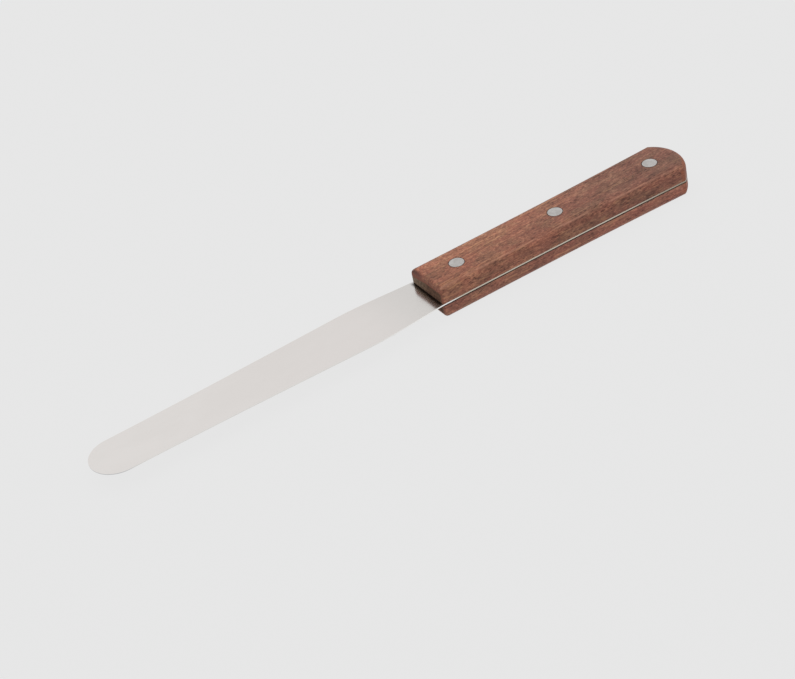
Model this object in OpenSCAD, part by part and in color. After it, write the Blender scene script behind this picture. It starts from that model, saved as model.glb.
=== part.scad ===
// Palette knife: a flexible round-ended steel blade with a full tang, held between
// two wooden scales by three two-piece compression rivets.
// The knife lies flat. +X runs from the tip to the butt, +Z is up, and z = 0 is the
// flat underside of the handle, below the middle of the whole knife.

/* [Overall] */
// Length of the blade ahead of the handle
blade_len = 152.5; // [120:0.5:200]
// Length of the handle
handle_len = 127.5; // [115:0.5:140]
// Width of the blade and of the handle where they meet
neck_w = 22.8; // [21:0.1:24]

/* [Blade] */
// Width of the blade at its shoulder
shoulder_w = 27; // [24:0.1:30]
// Distance of the shoulder ahead of the handle
shoulder_dist = 36; // [28:1:45]
// Radius of the round tip
tip_r = 11.4; // [9:0.1:12]
// Thickness of the tang, and of the blade at the handle
tang_t = 0.6; // [0.4:0.1:1.2]
// Thickness of the blade at its tip
tip_t = 0.4; // [0.2:0.1:0.6]

/* [Handle] */
// Width of the handle at its butt corners
butt_w = 25.6; // [24:0.1:28]
// Radius of the arc that ends the butt
butt_r = 16; // [15:0.5:24]
// Thickness of each wooden scale
scale_t = 7.2; // [6:0.1:9]
// Radius of the rounded edge along the sides and round the butt
edge_r = 3.4; // [2:0.1:5]
// Radius of the upper scale's rounded edge between its front and its outer face
upper_front_r = 2.2; // [1:0.1:4.5]
// Radius of the lower scale's rounded edge between its front and its outer face
lower_front_r = 3.8; // [1:0.1:4.5]
// Radius of the handle's front corners in plan
corner_r = 1; // [0.4:0.1:1.5]

/* [Rivets] */
// Distance of the front rivet behind the front of the handle
rivet_start = 15.4; // [12:0.1:20]
// Distance of the rear rivet ahead of the butt
rivet_end = 14.5; // [12:0.1:20]
// Diameter of the rivet heads
head_d = 6.35; // [5.5:0.05:8]
// Thickness of the rivet heads
head_t = 2.2; // [1.5:0.1:2.8]
// Outer diameter of the socket half's tube
tube_d = 4.8; // [4.2:0.1:5.2]
// Diameter of the pin half's pin
pin_d = 3.2; // [2.5:0.1:3.6]

/* [Hidden] */

// Places along the knife
tip_x = -(blade_len + handle_len) / 2;
butt_x = (blade_len + handle_len) / 2;
front_x = butt_x - handle_len;
shoulder_x = front_x - shoulder_dist;
tip_arc_x = tip_x + tip_r;
butt_arc_x = butt_x - butt_r;

// Heights: the tang lies midway between the scales
tang_z = scale_t;
upper_z = scale_t + tang_t;
handle_t = 2 * scale_t + tang_t;

// Slope of each side, in mm of half width per mm of length
neck_flare = 0.06;
blade_taper = 0.028;
handle_flare = -0.002;
butt_flare = 0.03;

// Rivet places, and the bores that take their tubes with a little play
rivet_pitch = (handle_len - rivet_start - rivet_end) / 2;
rivet_front_x = front_x + rivet_start;
rivet_xs = [for (i = [0:2]) rivet_front_x + i * rivet_pitch];
scale_bore_d = tube_d + 0.1;
tang_bore_d = tube_d + 0.2;

// The tube stops short of the pin half's head, and the pin short of the tube's end
rivet_gap = 0.3;
tube_end_t = 1;
shank_len = handle_t - 2 * head_t;
tube_len = shank_len - rivet_gap;
tube_bore_len = tube_len - tube_end_t;
pin_len = tube_bore_len;

// Fineness of the curves
round_fn = 96;
neck_steps = 8;
taper_steps = 16;
tip_steps = 48;
side_steps = 10;
butt_steps = 24;
corner_steps = 4;
edge_steps = 8;

// How far a cutting or enclosing solid runs past what it meets
over = 1;

// Cubic that starts at a with slope a_slope and ends at b with slope b_slope after a
// run of length run, taken at the fraction t of that run
function blend(a, a_slope, b, b_slope, run, t) =
    a * (2 * pow(t, 3) - 3 * pow(t, 2) + 1)
    + a_slope * run * (pow(t, 3) - 2 * pow(t, 2) + t)
    + b * (3 * pow(t, 2) - 2 * pow(t, 3))
    + b_slope * run * (pow(t, 3) - pow(t, 2));

// The other side of an outline, in reverse order
function mirrored(side) =
    [for (i = [len(side) - 1:-1:0]) [side[i][0], -side[i][1]]];

// Half width of the blade between the shoulder and the tip's arc
function taper_half(t) =
    blend(tip_r, 0, shoulder_w / 2, blade_taper, shoulder_x - tip_arc_x, t);

// Half width of the blade between the handle and the shoulder
function neck_half(t) =
    blend(shoulder_w / 2, blade_taper, neck_w / 2, -neck_flare, shoulder_dist, t);

// One side of the blade, from the tip's arc to the handle
function blade_side() = concat(
    [for (i = [0:taper_steps]) let (t = i / taper_steps)
        [tip_arc_x + (shoulder_x - tip_arc_x) * t, taper_half(t)]],
    [for (i = [1:neck_steps]) let (t = i / neck_steps)
        [shoulder_x + shoulder_dist * t, neck_half(t)]]);

// The tip's arc, from the blade's near side round to its far side
function tip_arc() =
    [for (i = [1:tip_steps - 1]) let (angle = 270 - 180 * i / tip_steps)
        [tip_arc_x + tip_r * cos(angle), tip_r * sin(angle)]];

// Where the side of the handle meets the butt's arc, on an outline inset by d
function butt_corner_x(d) =
    butt_arc_x + sqrt(pow(butt_r - d, 2) - pow(butt_w / 2 - d, 2));

// Half width of the handle at the fraction t of the way to the butt's corner
function handle_half(t) =
    blend(neck_w / 2, handle_flare, butt_w / 2, butt_flare, butt_corner_x(0) - front_x, t);

// One side of the handle, inset by d and with its front set back by back
function handle_side(d, back) = let (x0 = front_x + back, x1 = butt_corner_x(d))
    [for (i = [1:side_steps]) let (t = i / side_steps)
        [x0 + (x1 - x0) * t, handle_half(t) - d]];

// The butt's arc between its corners, inset by d
function butt_arc(d) = let (half = asin((butt_w / 2 - d) / (butt_r - d)))
    [for (i = [1:butt_steps - 1]) let (angle = half * (1 - 2 * i / butt_steps))
        [butt_arc_x + (butt_r - d) * cos(angle), (butt_r - d) * sin(angle)]];

// A front corner of the handle, inset by d and set back by back
function front_corner(d, back) =
    [for (i = [0:corner_steps]) let (angle = 90 * i / corner_steps)
        [front_x + back + corner_r * (1 - cos(angle)),
         neck_w / 2 - d - corner_r * (1 - sin(angle))]];

// Outline of a scale, inset by d and with its front set back by back
function scale_outline(d, back) =
    let (side = concat(front_corner(d, back), handle_side(d, back)))
    concat(side, butt_arc(d), mirrored(side));

// How far a front edge rounded to radius r sets the front back, at the height z of a
// scale
function front_set_back(z, r) = let (rise = min(r, max(0, z - (scale_t - r))))
    r - sqrt(pow(r, 2) - pow(rise, 2));

// Height, inset and set-back of each layer of a scale, from the tang outwards: the
// sides stand square, and then turn in over a quarter round
function scale_layers(front_r) = concat(
    [[0, 0, 0]],
    [for (i = [0:edge_steps])
        let (angle = 90 * i / edge_steps, z = scale_t - edge_r * (1 - sin(angle)))
        [z, edge_r * (1 - cos(angle)), front_set_back(z, front_r)]]);

// Solid through a stack of outlines that have the same number of points
module stack(layers) {
    outlines = [for (layer = layers) scale_outline(layer[1], layer[2])];
    count = len(outlines[0]);
    top = (len(layers) - 1) * count;
    polyhedron(
        points = [for (k = [0:len(layers) - 1]) for (p = outlines[k]) [p[0], p[1], layers[k][0]]],
        faces = concat(
            [[for (i = [count - 1:-1:0]) i]],
            [[for (i = [0:count - 1]) top + i]],
            [for (k = [0:len(layers) - 2]) for (i = [0:count - 1])
                let (a = k * count + i, b = k * count + (i + 1) % count)
                [a, b, b + count]],
            [for (k = [0:len(layers) - 2]) for (i = [0:count - 1])
                let (a = k * count + i, b = k * count + (i + 1) % count)
                [a, b + count, a + count]]));
}

// One wooden scale, its flat inner face at z = 0 and its rivet seats in the outer face
module wood_scale(front_r) {
    difference() {
        stack(scale_layers(front_r));
        for (x = rivet_xs) {
            translate([x, 0, -over])
                cylinder(d = scale_bore_d, h = scale_t + 2 * over, $fn = round_fn);
            translate([x, 0, scale_t - head_t])
                cylinder(d = head_d, h = head_t + over, $fn = round_fn);
        }
    }
}

module scale_upper() {
    color("sienna") translate([0, 0, upper_z]) wood_scale(upper_front_r);
}

module scale_lower() {
    color("sienna") translate([0, 0, tang_z]) mirror([0, 0, 1]) wood_scale(lower_front_r);
}

// Plan of the blade and the tang together
module blade_plan() {
    sides = concat(blade_side(), handle_side(0, 0));
    polygon(concat(sides, butt_arc(0), mirrored(sides), tip_arc()));
}

// Side view of the blade and the tang: even along the tang, thinning towards the tip
module blade_profile() {
    polygon([
        [tip_x, -tip_t / 2],
        [front_x, -tang_t / 2],
        [butt_x + over, -tang_t / 2],
        [butt_x + over, tang_t / 2],
        [front_x, tang_t / 2],
        [tip_x, tip_t / 2]
    ]);
}

module blade() {
    color("gainsboro") translate([0, 0, tang_z + tang_t / 2])
        difference() {
            intersection() {
                linear_extrude(2 * tang_t, center = true) blade_plan();
                rotate([90, 0, 0])
                    linear_extrude(shoulder_w + 2 * over, center = true) blade_profile();
            }
            for (x = rivet_xs)
                translate([x, 0, 0])
                    cylinder(d = tang_bore_d, h = 4 * tang_t, center = true, $fn = round_fn);
        }
}

// Socket half of a rivet: a flush head on top, and a tube that opens downwards
module rivet_socket(x) {
    tube_z = handle_t - head_t - tube_len;
    color("silver") translate([x, 0, 0])
        difference() {
            union() {
                translate([0, 0, handle_t - head_t])
                    cylinder(d = head_d, h = head_t, $fn = round_fn);
                translate([0, 0, tube_z])
                    cylinder(d = tube_d, h = tube_len, $fn = round_fn);
            }
            translate([0, 0, tube_z - over])
                cylinder(d = pin_d, h = tube_bore_len + over, $fn = round_fn);
        }
}

// Pin half of a rivet: a flush head underneath, and a pin that fills the tube
module rivet_pin(x) {
    color("silver") translate([x, 0, 0]) {
        cylinder(d = head_d, h = head_t, $fn = round_fn);
        translate([0, 0, head_t])
            cylinder(d = pin_d, h = pin_len, $fn = round_fn);
    }
}

blade();
scale_upper();
scale_lower();
rivet_socket(rivet_xs[0]);  // rivet_socket_front
rivet_socket(rivet_xs[1]);  // rivet_socket_middle
rivet_socket(rivet_xs[2]);  // rivet_socket_rear
rivet_pin(rivet_xs[0]);  // rivet_pin_front
rivet_pin(rivet_xs[1]);  // rivet_pin_middle
rivet_pin(rivet_xs[2]);  // rivet_pin_rear
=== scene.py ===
"""Palette knife: a flexible round-ended steel blade with a full tang, riveted between
two hardwood scales. Shapes are in millimetres until new_object turns them into metres.
In the materials, ramp_mm and names that end in _mm are in millimetres too. The floor,
the light and the camera are in metres."""
import math

import bmesh
import bpy
from mathutils import Matrix, Vector


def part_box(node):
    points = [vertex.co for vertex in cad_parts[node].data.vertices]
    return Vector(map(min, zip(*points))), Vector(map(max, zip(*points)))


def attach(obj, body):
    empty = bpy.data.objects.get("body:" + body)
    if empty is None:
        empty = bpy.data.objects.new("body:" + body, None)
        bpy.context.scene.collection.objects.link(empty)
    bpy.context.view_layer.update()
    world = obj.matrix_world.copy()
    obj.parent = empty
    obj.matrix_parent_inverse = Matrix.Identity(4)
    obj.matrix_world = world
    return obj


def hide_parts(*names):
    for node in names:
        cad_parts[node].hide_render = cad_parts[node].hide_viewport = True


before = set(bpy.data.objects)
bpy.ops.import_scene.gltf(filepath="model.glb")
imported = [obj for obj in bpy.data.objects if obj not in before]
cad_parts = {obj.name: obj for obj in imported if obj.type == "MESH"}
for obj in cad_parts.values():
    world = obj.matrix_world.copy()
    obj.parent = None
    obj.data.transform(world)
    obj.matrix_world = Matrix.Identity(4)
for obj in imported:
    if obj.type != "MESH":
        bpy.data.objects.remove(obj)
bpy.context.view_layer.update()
BODY = "root"
MM = 0.001


def box_mm(node):
    """Lowest and highest corner of a CAD node, in millimetres."""
    low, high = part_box(node)
    return low / MM, high / MM


# ---------------------------------------------------------------- dimensions, in mm

UPPER_LOW, UPPER_HIGH = box_mm("scale_upper")
RIVET_PLACES = ("front", "middle", "rear")
RIVET_BOXES = [box_mm("rivet_socket_" + place) for place in RIVET_PLACES]

TIP_X = box_mm("blade")[0].x
BUTT_X = UPPER_HIGH.x
FRONT_X = UPPER_LOW.x
HANDLE_T = UPPER_HIGH.z
SCALE_T = UPPER_HIGH.z - UPPER_LOW.z
TANG_T = UPPER_LOW.z - SCALE_T
MID_Z = HANDLE_T / 2
RIVET_XS = [(low.x + high.x) / 2 for low, high in RIVET_BOXES]
HEAD_R = (RIVET_BOXES[0][1].y - RIVET_BOXES[0][0].y) / 2

# The boxes don't give these, so they repeat the values in part.scad
NECK_W = 22.8
SHOULDER_W = 27.0
SHOULDER_DIST = 36.0
TIP_R = 11.4
TIP_T = 0.4
BUTT_W = 25.6
BUTT_R = 16.0
EDGE_R = 3.4
UPPER_FRONT_R = 2.2
LOWER_FRONT_R = 3.8
CORNER_R = 1.0
NECK_FLARE = 0.06
BLADE_TAPER = 0.028
HANDLE_FLARE = -0.002
BUTT_FLARE = 0.03
HEAD_T = 2.2
TUBE_R = 2.4
PIN_R = 1.6
SCALE_BORE_R = 2.45
TANG_BORE_R = 2.5
RIVET_GAP = 0.3
TUBE_END_T = 1.0

SHOULDER_X = FRONT_X - SHOULDER_DIST
TIP_ARC_X = TIP_X + TIP_R
BUTT_ARC_X = BUTT_X - BUTT_R

# Small eased edges, and play round the rivet heads, that only the finished knife has
BLADE_EDGE_R = 0.08
UPPER_SEAM_R = 0.12
LOWER_SEAM_R = 0.3
RIVET_RIM_R = 0.12
SEAT_PLAY = 0.14

# How far a bore's cutter passes the surface
CUTTER_OVER = 1.0

# How far the dark joint, with painted shade in its gap, reaches from the tang's middle,
# along the sides and in front
JOINT_SHADE_REACH = 1.0
FRONT_JOINT_SHADE_REACH = 0.9

# Painted reflection and shade of the handle on the blade: this far ahead of the handle
# it starts to fade and is gone, and it fades towards the blade's edges over these
# distances from its middle
HANDLE_REFLECTION_FULL = 0.5
HANDLE_REFLECTION_END = 2.2
HANDLE_REFLECTION_HALF_WIDTH = (9.5, 11.4)

# Marks on the wood, some of them painted light and shade. A pair says where a mark starts
# to fade and where it is gone. The blush and the painted sheen are measured from the butt,
# the painted shade at the far corner from the front, and the painted shade round a rivet
# from the rivet's head. The brow's lower edge slopes down to the far side.
BUTT_BLUSH = 7.8
SHEEN_FADE = (13, 6)
FAR_CORNER_SHADE_REACH = (1.5, 4)
BROW_NEAR_Z = 12.5
BROW_FAR_Z = 11.2
RECESS_SHADE_REACH = (0.1, 0.5)
RECESS_SHADE_SHIFT = 0.13


# ---------------------------------------------------------------- outlines, in mm

def blend(a, a_slope, b, b_slope, run, t):
    """Cubic from a to b over a run, with the given slopes at its ends."""
    return (a * (2 * t**3 - 3 * t**2 + 1) + a_slope * run * (t**3 - 2 * t**2 + t)
            + b * (3 * t**2 - 2 * t**3) + b_slope * run * (t**3 - t**2))


def steps(count, first=0):
    """Fractions from first / count to 1."""
    return [i / count for i in range(first, count + 1)]


def tip_arc(inset):
    """The far half of the tip's arc, from the tip round to the blade's side."""
    count = 40
    angles = [math.pi - (i + 0.5) * math.pi / 2 / count for i in range(count)]
    radius = TIP_R - inset
    return [(TIP_ARC_X + radius * math.cos(a), radius * math.sin(a)) for a in angles]


def blade_side(inset):
    """The far side of the blade, from the tip's arc to the handle."""
    taper = [(TIP_ARC_X + (SHOULDER_X - TIP_ARC_X) * t,
              blend(TIP_R, 0, SHOULDER_W / 2, BLADE_TAPER, SHOULDER_X - TIP_ARC_X, t))
             for t in steps(40)]
    neck = [(SHOULDER_X + SHOULDER_DIST * t,
             blend(SHOULDER_W / 2, BLADE_TAPER, NECK_W / 2, -NECK_FLARE, SHOULDER_DIST, t))
            for t in steps(24, 1)]
    return [(x, half - inset) for x, half in taper + neck]


def butt_corner_x(inset):
    """Where the handle's side meets the butt's arc."""
    reach = (BUTT_R - inset) ** 2 - (BUTT_W / 2 - inset) ** 2
    return BUTT_ARC_X + math.sqrt(reach)


def handle_side(inset, back, count=36):
    """The far side of the handle, from its front to the butt's corner."""
    run = butt_corner_x(0) - FRONT_X
    start = FRONT_X + back
    end = butt_corner_x(inset)
    return [(start + (end - start) * t,
             blend(NECK_W / 2, HANDLE_FLARE, BUTT_W / 2, BUTT_FLARE, run, t) - inset)
            for t in steps(count, 1)]


def butt_arc(inset, count=32):
    """The far half of the butt's arc, from its corner to the middle."""
    radius = BUTT_R - inset
    half = math.asin((BUTT_W / 2 - inset) / radius)
    angles = [half * (1 - (i + 0.5) / (count + 0.5)) for i in range(1, count + 1)]
    return [(BUTT_ARC_X + radius * math.cos(a), radius * math.sin(a)) for a in angles]


def front_corner(inset, back, count=6):
    """The far front corner of a scale."""
    angles = [math.pi / 2 * i / count for i in range(count + 1)]
    return [(FRONT_X + back + CORNER_R * (1 - math.cos(a)),
             NECK_W / 2 - inset - CORNER_R * (1 - math.sin(a))) for a in angles]


# ---------------------------------------------------------------- mesh building

def new_object(name, mesh):
    """A scene object for a mesh built in millimetres."""
    mesh.transform(Matrix.Scale(MM, 4))
    piece = bpy.data.objects.new(name, mesh)
    bpy.context.scene.collection.objects.link(piece)
    return piece


def stack_mesh(name, layers):
    """A closed mesh through outlines that are the same on both sides. Each layer is
    the far side as (x, y, z) points, and the near side mirrors it."""
    bm = bmesh.new()
    rings = []
    for side in layers:
        ring = side + [(x, -y, z) for x, y, z in reversed(side)]
        rings.append([bm.verts.new(p) for p in ring])
    count = len(rings[0])
    for low, high in zip(rings, rings[1:]):
        for i in range(count):
            j = (i + 1) % count
            bm.faces.new((low[i], low[j], high[j], high[i]))
    for ring in (rings[0], rings[-1]):
        for i in range(count // 2 - 1):
            bm.faces.new((ring[i], ring[i + 1], ring[count - 2 - i], ring[count - 1 - i]))
    bmesh.ops.recalc_face_normals(bm, faces=bm.faces)
    mesh = bpy.data.meshes.new(name)
    bm.to_mesh(mesh)
    bm.free()
    return mesh


def lathe_mesh(name, profile, x, count=96):
    """A closed turned shape: profile is (radius, z) points from axis to axis."""
    bm = bmesh.new()
    rings = []
    for radius, z in profile:
        if radius == 0:
            rings.append([bm.verts.new((x, 0, z))] * count)
        else:
            rings.append([bm.verts.new((x + radius * math.cos(2 * math.pi * i / count),
                                        radius * math.sin(2 * math.pi * i / count), z))
                          for i in range(count)])
    for low, high in zip(rings, rings[1:]):
        for i in range(count):
            j = (i + 1) % count
            corners = list(dict.fromkeys((low[i], low[j], high[j], high[i])))
            bm.faces.new(corners)
    bmesh.ops.recalc_face_normals(bm, faces=bm.faces)
    mesh = bpy.data.meshes.new(name)
    bm.to_mesh(mesh)
    bm.free()
    return mesh


def bore_at_rivets(piece, profile):
    """Cuts a turned profile out of a piece at each rivet, for good."""
    cutters = [new_object("bore_cutter", lathe_mesh("bore_cutter", profile, x))
               for x in RIVET_XS]
    for cutter in cutters:
        modifier = piece.modifiers.new("bore", "BOOLEAN")
        modifier.operation = "DIFFERENCE"
        modifier.solver = "EXACT"
        modifier.object = cutter
    graph = bpy.context.evaluated_depsgraph_get()
    mesh = bpy.data.meshes.new_from_object(piece.evaluated_get(graph))
    piece.modifiers.clear()
    piece.data = mesh
    for cutter in cutters:
        bpy.data.objects.remove(cutter)


def smooth(piece, angle=28):
    """Smooth shading that stops at edges sharper than angle, with flat faces kept flat."""
    mesh = piece.data
    mesh.polygons.foreach_set("use_smooth", [True] * len(mesh.polygons))
    mesh.set_sharp_from_angle(angle=math.radians(angle))
    modifier = piece.modifiers.new("flat_faces", "WEIGHTED_NORMAL")
    modifier.keep_sharp = True


def quarter(count):
    """Angles over a quarter turn, in radians."""
    return [math.pi / 2 * t for t in steps(count)]


# ---------------------------------------------------------------- pieces

def front_set_back(z, radius):
    """How far a rounded front edge sets the front back at a height of a scale."""
    rise = min(radius, max(0.0, z - (SCALE_T - radius)))
    return radius - math.sqrt(radius**2 - rise**2)


def scale_layers(front_r, seam_r):
    """Height, inset and set-back of a scale's layers, from the tang outwards."""
    seam = [(seam_r * (1 - math.cos(a)), seam_r * (1 - math.sin(a))) for a in quarter(4)]
    seam = [(z, inset, inset) for z, inset in seam]
    side = [((seam_r + SCALE_T - EDGE_R) / 2, 0.0, 0.0)]
    edge = []
    for a in quarter(24):
        z = SCALE_T - EDGE_R * (1 - math.sin(a))
        edge.append((z, EDGE_R * (1 - math.cos(a)), front_set_back(z, front_r)))
    return seam + side + edge


def make_scale(name, direction, front_r, seam_r):
    """A wooden scale on one side of the tang. direction is 1 upwards, -1 downwards."""
    face_z = MID_Z + direction * TANG_T / 2
    layers = []
    for z, inset, back in scale_layers(front_r, seam_r):
        side = front_corner(inset, back) + handle_side(inset, back) + butt_arc(inset)
        layers.append([(x, y, face_z + direction * z) for x, y in side])
    piece = new_object(name, stack_mesh(name, layers))
    seat_z = face_z + direction * (SCALE_T - HEAD_T)
    below = face_z - direction * CUTTER_OVER
    above = face_z + direction * (SCALE_T + CUTTER_OVER)
    seat_r = HEAD_R + SEAT_PLAY
    profile = [(0, below), (SCALE_BORE_R, below), (SCALE_BORE_R, seat_z),
               (seat_r, seat_z), (seat_r, above), (0, above)]
    bore_at_rivets(piece, profile)
    smooth(piece)
    return piece


def blade_thickness(x):
    """Even along the tang, thinning from the handle to the tip."""
    t = max(0.0, (FRONT_X - x) / (FRONT_X - TIP_X))
    return TANG_T + (TIP_T - TANG_T) * t


def make_blade(name):
    """The blade and its tang, with a polished round along every edge."""
    layers = []
    angles = [-a for a in reversed(quarter(4))] + quarter(4)[1:]
    for a in angles:
        inset = BLADE_EDGE_R * (1 - math.cos(a))
        side = (tip_arc(inset) + blade_side(inset) + handle_side(inset, 0)
                + butt_arc(inset))
        level = (a > 0) - (a < 0)
        rise = BLADE_EDGE_R * math.sin(a)
        layers.append([(x, y, MID_Z + level * (blade_thickness(x) / 2 - BLADE_EDGE_R) + rise)
                       for x, y in side])
    piece = new_object(name, stack_mesh(name, layers))
    half = TANG_T / 2 + CUTTER_OVER
    below, above = MID_Z - half, MID_Z + half
    bore_at_rivets(piece, [(0, below), (TANG_BORE_R, below), (TANG_BORE_R, above),
                           (0, above)])
    smooth(piece)
    return piece


def rim(face_z, direction):
    """Profile round the rim of a rivet head, from its face to its side. direction is 1
    for a head on top, -1 for one underneath."""
    return [(HEAD_R - RIVET_RIM_R * (1 - math.sin(a)),
             face_z - direction * RIVET_RIM_R * (1 - math.cos(a)))
            for a in quarter(4)]


def make_socket(name, x):
    """Socket half of a rivet: flush head on top and a tube that opens downwards."""
    tube_z = HEAD_T + RIVET_GAP
    bore_end = HANDLE_T - HEAD_T - TUBE_END_T
    profile = ([(0, HANDLE_T)] + rim(HANDLE_T, 1)
               + [(HEAD_R, HANDLE_T - HEAD_T), (TUBE_R, HANDLE_T - HEAD_T),
                  (TUBE_R, tube_z), (PIN_R, tube_z), (PIN_R, bore_end), (0, bore_end)])
    piece = new_object(name, lathe_mesh(name, profile, x))
    smooth(piece)
    return piece


def make_pin(name, x):
    """Pin half of a rivet: flush head underneath and a pin up into the tube."""
    pin_end = HANDLE_T - HEAD_T - RIVET_GAP - TUBE_END_T
    profile = ([(0, 0.0)] + rim(0.0, -1)
               + [(HEAD_R, HEAD_T), (PIN_R, HEAD_T), (PIN_R, pin_end), (0, pin_end)])
    piece = new_object(name, lathe_mesh(name, profile, x))
    smooth(piece)
    return piece


# ---------------------------------------------------------------- materials

class Graph:
    """Small helper that adds and links shader nodes."""

    def __init__(self, name):
        self.material = bpy.data.materials.new(name)
        self.material.use_nodes = True
        self.tree = self.material.node_tree
        self.shader = self.tree.nodes["Principled BSDF"]

    def node(self, kind, **settings):
        made = self.tree.nodes.new(kind)
        for key, value in settings.items():
            setattr(made, key, value)
        return made

    def put(self, socket, value):
        """Links a socket, or sets its constant."""
        if isinstance(value, bpy.types.NodeSocket):
            self.tree.links.new(value, socket)
        else:
            socket.default_value = value

    def math(self, operation, a, b=0.0):
        made = self.node("ShaderNodeMath", operation=operation)
        self.put(made.inputs[0], a)
        self.put(made.inputs[1], b)
        return made.outputs[0]

    def times(self, a, b):
        return self.math("MULTIPLY", a, b)

    def ramp(self, value, low, high, out_low=0.0, out_high=1.0):
        """Smooth step of a value from low..high to out_low..out_high."""
        made = self.node("ShaderNodeMapRange", interpolation_type="SMOOTHSTEP")
        for socket, item in zip(made.inputs[:5], (value, low, high, out_low, out_high)):
            self.put(socket, item)
        return made.outputs[0]

    def ramp_mm(self, value, low, high, out_low=0.0, out_high=1.0):
        """The same for a length, with low and high in millimetres."""
        return self.ramp(value, low * MM, high * MM, out_low, out_high)

    def mix(self, factor, a, b, kind="MIX"):
        made = self.node("ShaderNodeMix", data_type="RGBA", blend_type=kind)
        self.put(made.inputs["Factor"], factor)
        self.put(made.inputs["A"], a)
        self.put(made.inputs["B"], b)
        return made.outputs["Result"]

    def tint(self, colour, by):
        return self.mix(1.0, colour, by, "MULTIPLY")

    def object_point(self, size_mm, offset=(0, 0, 0), turn=0.0):
        """Object coordinates in units of a size per axis, turned about Z by degrees."""
        coordinates = self.node("ShaderNodeTexCoord")
        mapping = self.node("ShaderNodeMapping", vector_type="TEXTURE")
        self.put(mapping.inputs["Vector"], coordinates.outputs["Object"])
        self.put(mapping.inputs["Location"], [v * MM for v in offset])
        self.put(mapping.inputs["Rotation"], (0.0, 0.0, math.radians(turn)))
        self.put(mapping.inputs["Scale"], [v * MM for v in size_mm])
        return mapping.outputs["Vector"]

    def axes(self, output):
        """The X, Y and Z parts of a texture coordinate output."""
        coordinates = self.node("ShaderNodeTexCoord")
        split = self.node("ShaderNodeSeparateXYZ")
        self.put(split.inputs[0], coordinates.outputs[output])
        return [split.outputs[axis] for axis in "XYZ"]

    def noise(self, vector, detail=3.0, rough=0.5, warp=0.0):
        made = self.node("ShaderNodeTexNoise")
        self.put(made.inputs["Vector"], vector)
        self.put(made.inputs["Scale"], 1.0)
        self.put(made.inputs["Detail"], detail)
        self.put(made.inputs["Roughness"], rough)
        self.put(made.inputs["Distortion"], warp)
        return made.outputs["Fac"]

    def bump(self, height, depth_mm):
        made = self.node("ShaderNodeBump")
        self.put(made.inputs["Height"], height)
        self.put(made.inputs["Distance"], depth_mm * MM)
        self.put(made.inputs["Strength"], 1.0)
        return made.outputs["Normal"]


def rgb(red, green, blue):
    """An sRGB colour, 0 to 255, as a linear RGBA."""
    def linear(value):
        value /= 255
        return value / 12.92 if value <= 0.04045 else ((value + 0.055) / 1.055) ** 2.4
    return (linear(red), linear(green), linear(blue), 1.0)


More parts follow.
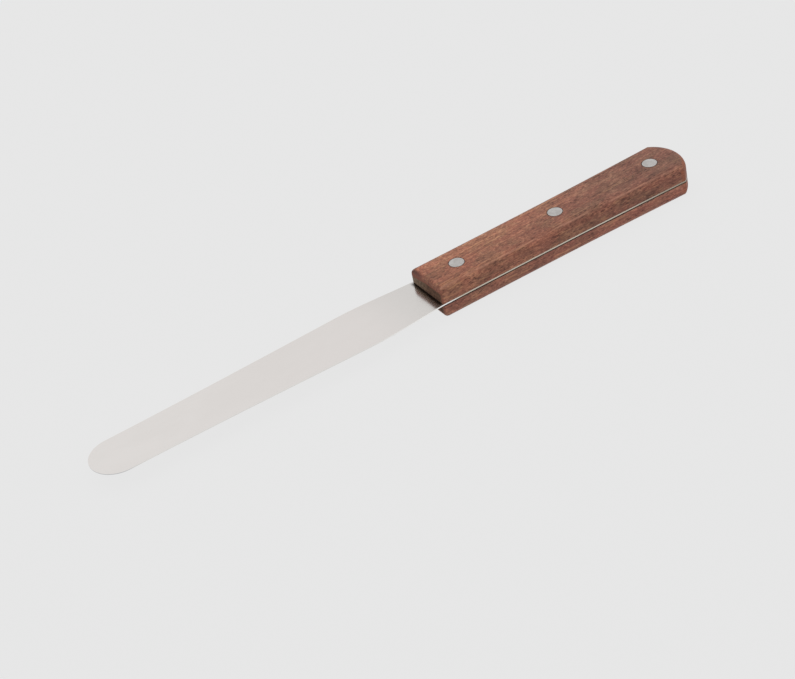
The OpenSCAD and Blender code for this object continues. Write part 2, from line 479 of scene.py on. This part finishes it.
class Wood(Graph):
    """Oiled reddish-brown hardwood. x, y and z are the place on the knife, in metres,
    and facing_x, facing_y and facing_z say which way the surface faces."""

    def __init__(self, name, offset, turn):
        super().__init__(name)
        self.offset = offset
        self.turn = turn
        self.x, self.y, self.z = self.axes("Object")
        self.facing_x, self.facing_y, self.facing_z = self.axes("Normal")
        self.length = self.ramp_mm(self.x, FRONT_X, BUTT_X)
        self.across = self.ramp_mm(self.y, -3, 7)
        self.front = self.ramp(self.facing_x, -0.995, -0.95, 1.0, 0.0)

    def grain(self, size_mm, detail, rough=0.5, warp=0.0):
        """Noise in lumps of about size_mm, set along the length of the wood."""
        point = self.object_point(size_mm, self.offset, self.turn)
        return self.noise(point, detail, rough, warp)

    def figure(self, fibre):
        """Streaks, flecks, mottling and fibres, with some gold lines and light flecks."""
        streak = self.grain((60, 2.4, 2.4), 4.0, 0.55, 0.5)
        fleck = self.grain((1.5, 0.8, 0.8), 2.0, 0.6, 0.4)
        mottle = self.grain((8, 4.5, 4.5), 2.0, 0.5, 0.6)
        tone = 0.5
        for mark, amount in ((streak, 0.6), (fleck, 1.5), (mottle, 0.7), (fibre, 0.8)):
            swing = self.times(self.math("SUBTRACT", mark, 0.5), amount)
            tone = self.math("ADD", tone, swing)
        colour = self.mix(self.ramp(tone, 0.05, 0.5), rgb(86, 53, 44), rgb(127, 85, 70))
        colour = self.mix(self.ramp(tone, 0.5, 0.98), colour, rgb(166, 117, 96))
        line = self.grain((30, 0.5, 0.5), 2.0, 0.5, 0.1)
        colour = self.mix(self.ramp(line, 0.56, 0.66, 0.0, 0.55), colour, rgb(176, 128, 98))
        spot = self.grain((1.7, 0.45, 0.45), 1.0)
        colour = self.mix(self.ramp(spot, 0.60, 0.72, 0.0, 0.4), colour, rgb(190, 142, 116))
        hue = self.ramp(self.grain((11, 6, 6), 3.0, 0.6, 0.5), 0.38, 0.62)
        redder, greener = (1.04, 0.955, 0.95, 1.0), (0.96, 1.03, 0.98, 1.0)
        return self.tint(colour, self.mix(hue, redder, greener))

    def pores(self):
        """Mask of the short open pores, which come in patches."""
        cells = self.node("ShaderNodeTexVoronoi", feature="F1")
        point = self.object_point((3.2, 0.75, 0.75), self.offset, self.turn)
        self.put(cells.inputs["Vector"], point)
        self.put(cells.inputs["Scale"], 1.0)
        pore = self.ramp(cells.outputs["Distance"], 0.14, 0.30, 1.0, 0.0)
        return self.times(pore, self.ramp(self.grain((20, 3, 3), 2.0), 0.42, 0.60))

    def tones_and_flank_light(self, colour, rear_tint):
        """Slow changes of colour along the handle and across it, and painted light that makes
        its flanks lighter than its top.
        """
        length_tint = self.mix(self.length, (1.08, 1.02, 0.97, 1.0), rear_tint)
        colour = self.tint(colour, length_tint)
        # Painted light: surfaces that face sideways are made lighter, most at the rear
        flank_light = self.ramp(self.facing_z, 0.55, 0.95, 1.0, 0.0)
        flank_light_tint = self.mix(self.length, (1.03, 1.03, 1.04, 1.0), (1.14, 1.06, 1.03, 1.0))
        colour = self.mix(flank_light, colour, self.tint(colour, flank_light_tint))
        # Paler to the far side, mostly towards the front
        cross_tone = self.times(self.across, self.ramp(self.length, 0.2, 0.9, 1.0, 0.2))
        return self.tint(colour, self.mix(cross_tone, (0.85, 0.83, 0.82, 1.0),
                                          (1.16, 1.15, 1.12, 1.0)))

    def sheen_and_far_shade(self, colour):
        """A painted highlight (sheen) along the rounded upper edges, and painted shade on
        surfaces that face the far side.
        """
        # Painted sheen where the top rounds into the sides, fading before the butt
        painted_sheen = self.times(self.ramp(self.facing_z, 0.74, 0.86),
                          self.ramp(self.facing_z, 0.88, 0.95, 1.0, 0.0))
        sideways = self.math("ABSOLUTE", self.facing_y)
        painted_sheen = self.times(painted_sheen, self.ramp(sideways, 0.15, 0.3))
        fade_start, fade_end = (BUTT_X - reach for reach in SHEEN_FADE)
        painted_sheen = self.times(painted_sheen, self.ramp_mm(self.x, fade_start, fade_end, 1.0, 0.0))
        patch = self.grain((14, 5, 5), 2.0)
        painted_sheen = self.times(painted_sheen, self.ramp(patch, 0.40, 0.60, 0.05, 0.30))
        colour = self.mix(painted_sheen, colour, rgb(190, 140, 118))
        # Painted shade on surfaces that face the far side
        far_shade = self.ramp(self.facing_y, 0.2, 0.5, 0.0, 0.35)
        return self.mix(far_shade, colour, rgb(84, 50, 42))

    def front_edge_shade(self, colour):
        """Painted shade on the rounded front edge, darkest at the far corner."""
        # Painted shade on the front rounding, deepest to the far side
        edge = self.ramp(self.facing_x, -0.8, -0.2, 0.9, 0.0)
        edge = self.times(edge, self.ramp(self.across, 0.3, 1.0, 0.4, 1.0))
        start, end = (FRONT_X + reach for reach in FAR_CORNER_SHADE_REACH)
        corner = self.times(self.ramp_mm(self.x, start, end, 0.75, 0.0),
                            self.ramp(self.facing_y, 0.1, 0.45))
        edge = self.math("MAXIMUM", edge, corner)
        dark = self.mix(self.ramp_mm(self.y, 3, 9), rgb(96, 54, 44), rgb(70, 38, 33))
        return self.mix(edge, colour, dark)

    def front_face(self, colour):
        """End grain on the front, under a reddish brow. It is darker than the top partly as
        painted shade, and paler to the far side as a painted highlight.
        """
        ring = self.ramp(self.grain((1, 1.2, 1.2), 3.0), 0.3, 0.7)
        near_end = self.mix(ring, rgb(66, 45, 34), rgb(97, 73, 55))
        # Painted highlight: the far end of the face is paler and greyer
        highlit_far_end = self.mix(ring, rgb(100, 84, 69), rgb(136, 118, 99))
        end_grain = self.mix(self.ramp_mm(self.y, -4, 11.5), near_end, highlit_far_end)
        brow_z = self.ramp_mm(self.y, -2, 10, BROW_NEAR_Z * MM, BROW_FAR_Z * MM)
        brow = self.ramp_mm(self.math("SUBTRACT", self.z, brow_z), -0.3, 0.3)
        end_grain = self.mix(brow, end_grain, rgb(124, 78, 64))
        return self.mix(self.times(self.front, 0.9), colour, end_grain)

    def butt_end(self, colour):
        """Orange-brown blush on the butt and on the sides next to it."""
        butt = self.ramp(self.facing_x, 0.3, 0.6, 0.0, 0.75)
        start = BUTT_X - BUTT_BLUSH
        beside = self.times(self.ramp_mm(self.x, start - 0.8, start, 0.0, 0.65),
                            self.ramp(self.facing_z, 0.35, 0.65, 1.0, 0.0))
        butt = self.math("MAXIMUM", butt, beside)
        butt = self.times(butt, self.ramp(self.facing_x, 0.75, 1.0, 1.0, 0.35))
        patch = self.grain((5, 2.5, 2.5), 2.0)
        butt = self.times(butt, self.ramp(patch, 0.38, 0.60, 0.55, 1.0))
        return self.mix(butt, colour, rgb(136, 76, 50))

    def rivet_recess_shade(self, colour):
        """Painted shade in the recess round each rivet head, thicker to the front and the
        near side. The rivets are evenly spaced, so one distance that swings to and fro fits
        all."""
        from_first = self.math("SUBTRACT", self.x, (RIVET_XS[0] - RECESS_SHADE_SHIFT) * MM)
        half_pitch = (RIVET_XS[1] - RIVET_XS[0]) / 2 * MM
        along = self.math("PINGPONG", from_first, half_pitch)
        across = self.math("ADD", self.y, RECESS_SHADE_SHIFT * MM)
        squares = self.math("ADD", self.times(along, along), self.times(across, across))
        radius = self.math("SQRT", squares)
        start, end = (HEAD_R + reach for reach in RECESS_SHADE_REACH)
        recess_shade = self.ramp_mm(radius, start, end, 0.75, 0.0)
        return self.mix(recess_shade, colour, rgb(50, 33, 27))

    def tang_joint_and_gap_shade(self, colour, all_round):
        """The dark joint with the tang and painted shade in its gap, along the front face or
        all round.
        """
        off_tang = self.math("ABSOLUTE", self.math("SUBTRACT", self.z, MID_Z * MM))
        # Dark joint line and painted shade of the gap, near the tang's middle
        joint_shade = self.times(self.ramp_mm(off_tang, 0.35, FRONT_JOINT_SHADE_REACH, 0.97, 0.0),
                           self.front)
        if all_round:
            side = self.ramp_mm(off_tang, 0.5, JOINT_SHADE_REACH, 0.95, 0.0)
            joint_shade = self.math("MAXIMUM", joint_shade, side)
        return self.mix(joint_shade, colour, rgb(20, 14, 12))


def wood_material(name, offset, turn, tint, rear_tint, joint_shade_all_round):
    """The wood of one scale. offset and turn take it from another part of the plank."""
    g = Wood(name, offset, turn)
    fibre = g.grain((0.9, 0.22, 0.22), 3.0, 0.6)
    pore = g.pores()
    colour = g.tint(g.figure(fibre), tint)
    colour = g.mix(g.times(pore, 0.8), colour, rgb(66, 36, 30))
    colour = g.tones_and_flank_light(colour, rear_tint)
    colour = g.sheen_and_far_shade(colour)
    colour = g.front_edge_shade(colour)
    colour = g.front_face(colour)
    colour = g.butt_end(colour)
    colour = g.rivet_recess_shade(colour)
    colour = g.tang_joint_and_gap_shade(colour, joint_shade_all_round)
    g.put(g.shader.inputs["Base Color"], colour)
    rough = g.ramp(fibre, 0.3, 0.7, 0.46, 0.62)
    g.put(g.shader.inputs["Roughness"], g.math("ADD", rough, g.times(g.front, 0.3)))
    g.put(g.shader.inputs["Specular IOR Level"], 0.25)
    height = g.math("SUBTRACT", g.times(fibre, 0.3), pore)
    g.put(g.shader.inputs["Normal"], g.bump(height, 0.05))
    return g.material


def steel_material(name):
    """Bright spring steel with a fine lengthwise polish. Its face is brightest at the tip and
    darker towards the handle, partly its own tone and partly painted reflection, and just
    ahead of the handle it carries a painted dark reflection and shade of the handle. Its
    edges carry painted reflections and highlights that change along the knife."""
    g = Graph(name)
    lines = g.noise(g.object_point((70, 0.11, 0.11)), 2.0, 0.5)
    smudge = g.noise(g.object_point((30, 14, 14)), 3.0, 0.6, 0.4)
    x, y, _ = g.axes("Object")
    upright = g.math("ABSOLUTE", g.axes("Normal")[2])

    # The face darkens from the tip to the handle, partly its own tone and partly painted
    # reflection
    face = g.mix(g.ramp_mm(x, TIP_X, 0), rgb(237, 233, 230), rgb(233, 228, 225))
    face = g.mix(g.ramp_mm(x, -20, FRONT_X), face, rgb(221, 218, 215))
    face = g.mix(g.ramp(smudge, 0.35, 0.65, 0.0, 0.15), face, rgb(224, 219, 215))
    # Painted reflection and shade of the handle, dark on the blade just ahead of its front
    handle_reflection_shade = g.ramp_mm(x, FRONT_X - HANDLE_REFLECTION_END, FRONT_X - HANDLE_REFLECTION_FULL)
    off_middle = g.math("ABSOLUTE", y)
    handle_reflection_shade = g.times(handle_reflection_shade, g.ramp_mm(off_middle, *HANDLE_REFLECTION_HALF_WIDTH, 0.9, 0.0))
    face = g.mix(handle_reflection_shade, face, rgb(60, 52, 48))

    # Painted reflections and highlights on the blade's edges: dull at the tip, a bright glint
    # near the handle
    edge = g.mix(g.ramp_mm(x, -134, -122), rgb(204, 204, 206), rgb(236, 234, 231))
    edge = g.mix(g.ramp_mm(x, -30, 0), edge, rgb(252, 251, 249))
    # Painted reflection along the tang's sides, fading darker towards the butt
    tang = g.mix(g.ramp_mm(x, 90, 134), rgb(206, 197, 181), rgb(163, 154, 137))
    edge = g.mix(g.ramp_mm(x, FRONT_X + 2, FRONT_X + 10), edge, tang)

    colour = g.mix(g.ramp(upright, 0.3, 0.8, 1.0, 0.0), face, edge)
    g.put(g.shader.inputs["Base Color"], colour)
    g.put(g.shader.inputs["Metallic"], 1.0)
    g.put(g.shader.inputs["Roughness"], g.ramp(smudge, 0.3, 0.7, 0.18, 0.20))
    g.put(g.shader.inputs["Normal"], g.bump(lines, 0.0004))
    return g.material


def rivet_material(name):
    """Satin rivet steel, sanded flush with the wood."""
    g = Graph(name)
    grit = g.noise(g.object_point((0.45, 0.19, 0.19)), 3.0, 0.6)
    patch = g.noise(g.object_point((2, 2, 2)), 2.0, 0.5)
    colour = g.mix(g.ramp(patch, 0.3, 0.7), rgb(190, 187, 184), rgb(205, 203, 201))
    g.put(g.shader.inputs["Base Color"], colour)
    g.put(g.shader.inputs["Metallic"], 1.0)
    g.put(g.shader.inputs["Roughness"], g.ramp(grit, 0.3, 0.7, 0.42, 0.55))
    g.put(g.shader.inputs["Normal"], g.bump(grit, 0.004))
    return g.material


# ---------------------------------------------------------------- assembly

def place(piece, material, node, slot):
    """Gives a finished piece its material and body, and hides the CAD node it stands for.
    The slot is not used."""
    piece.data.materials.clear()
    piece.data.materials.append(material)
    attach(piece, BODY)
    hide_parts(node)


steel = steel_material("blade_steel")
rivet_steel = rivet_material("rivet_steel")
place(make_blade("blade_and_tang"), steel, "blade", "blade_steel")
place(make_scale("upper_scale", 1, UPPER_FRONT_R, UPPER_SEAM_R),
      wood_material("wood_upper", (0, 0, 0), 4.0, (1.0, 1.0, 1.0, 1.0),
                    (0.80, 0.83, 0.88, 1.0), False),
      "scale_upper", "handle_wood")
place(make_scale("lower_scale", -1, LOWER_FRONT_R, LOWER_SEAM_R),
      wood_material("wood_lower", (37, 51, 23), -3.0, (1.02, 0.985, 1.05, 1.0),
                    (1.07, 1.07, 1.10, 1.0), True),
      "scale_lower", "handle_wood")
for place_name, rivet_x in zip(RIVET_PLACES, RIVET_XS):
    place(make_socket("rivet_head_" + place_name, rivet_x), rivet_steel,
          "rivet_socket_" + place_name, "rivet_metal")
    place(make_pin("rivet_back_" + place_name, rivet_x), rivet_steel,
          "rivet_pin_" + place_name, "rivet_metal")


# ---------------------------------------------------------------- stage, light, camera

FLOOR_R = 6
FLOOR_LIT = 0.03
WORLD_STRENGTH = 0.85


def make_floor():
    """A plain pale floor. Only FLOOR_LIT of its tone comes from the lights and the rest
    is its own glow, so that shadows stay faint, as in the photo."""
    bm = bmesh.new()
    bmesh.ops.create_circle(bm, cap_ends=True, radius=FLOOR_R, segments=64)
    mesh = bpy.data.meshes.new("floor")
    bm.to_mesh(mesh)
    bm.free()
    floor = bpy.data.objects.new("floor", mesh)
    bpy.context.scene.collection.objects.link(floor)
    g = Graph("floor_paper")
    tone = rgb(230, 230, 230)
    g.put(g.shader.inputs["Base Color"], tuple(c * FLOOR_LIT for c in tone[:3]) + (1.0,))
    g.put(g.shader.inputs["Roughness"], 1.0)
    g.put(g.shader.inputs["Specular IOR Level"], 0.0)
    g.put(g.shader.inputs["Emission Color"], tone)
    g.put(g.shader.inputs["Emission Strength"], 1.0 - FLOOR_LIT)
    mesh.materials.append(g.material)


def make_world(strength):
    """Even white light from all round."""
    world = bpy.data.worlds.new("studio")
    world.use_nodes = True
    background = world.node_tree.nodes["Background"]
    background.inputs["Color"].default_value = (1, 1, 1, 1)
    background.inputs["Strength"].default_value = strength
    bpy.context.scene.world = world


def make_softbox(name, direction, distance, size, power):
    """A square area light that faces the middle of the knife. It gives no gloss, so the
    steel doesn't mirror it."""
    light = bpy.data.lights.new(name, "AREA")
    light.shape = "SQUARE"
    light.size = size
    light.energy = power
    lamp = bpy.data.objects.new(name, light)
    lamp.visible_glossy = False
    bpy.context.scene.collection.objects.link(lamp)
    towards = Vector(direction).normalized()
    lamp.location = towards * distance
    lamp.rotation_euler = towards.to_track_quat("Z", "Y").to_euler()


def make_camera(azimuth, elevation, roll, distance, target, lens):
    """A camera that looks at target from azimuth and elevation, in degrees."""
    a, e, r = (math.radians(v) for v in (azimuth, elevation, roll))
    back = Vector((math.sin(a) * math.cos(e), -math.cos(a) * math.cos(e), math.sin(e)))
    right = Vector((math.cos(a), math.sin(a), 0))
    up = back.cross(right)
    rolled_right = math.cos(r) * right + math.sin(r) * up
    rolled_up = math.cos(r) * up - math.sin(r) * right
    camera = bpy.data.cameras.new("camera")
    camera.lens = lens
    camera.sensor_width = 36
    camera.clip_start = 0.01
    camera.clip_end = 50
    holder = bpy.data.objects.new("camera", camera)
    bpy.context.scene.collection.objects.link(holder)
    turn = Matrix((rolled_right, rolled_up, back)).transposed()
    holder.matrix_world = Matrix.Translation(Vector(target) + back * distance) @ turn.to_4x4()
    bpy.context.scene.camera = holder


make_floor()
make_world(WORLD_STRENGTH)
make_softbox("overhead", direction=(0.1, 0.15, 0.98), distance=1.3, size=1.6, power=9.5)
make_camera(azimuth=-24.95, elevation=35.22, roll=-12.65, distance=0.8105,
            target=(-0.01287, -0.01707, MID_Z * MM), lens=94.39)
bpy.context.scene.view_settings.view_transform = "Standard"
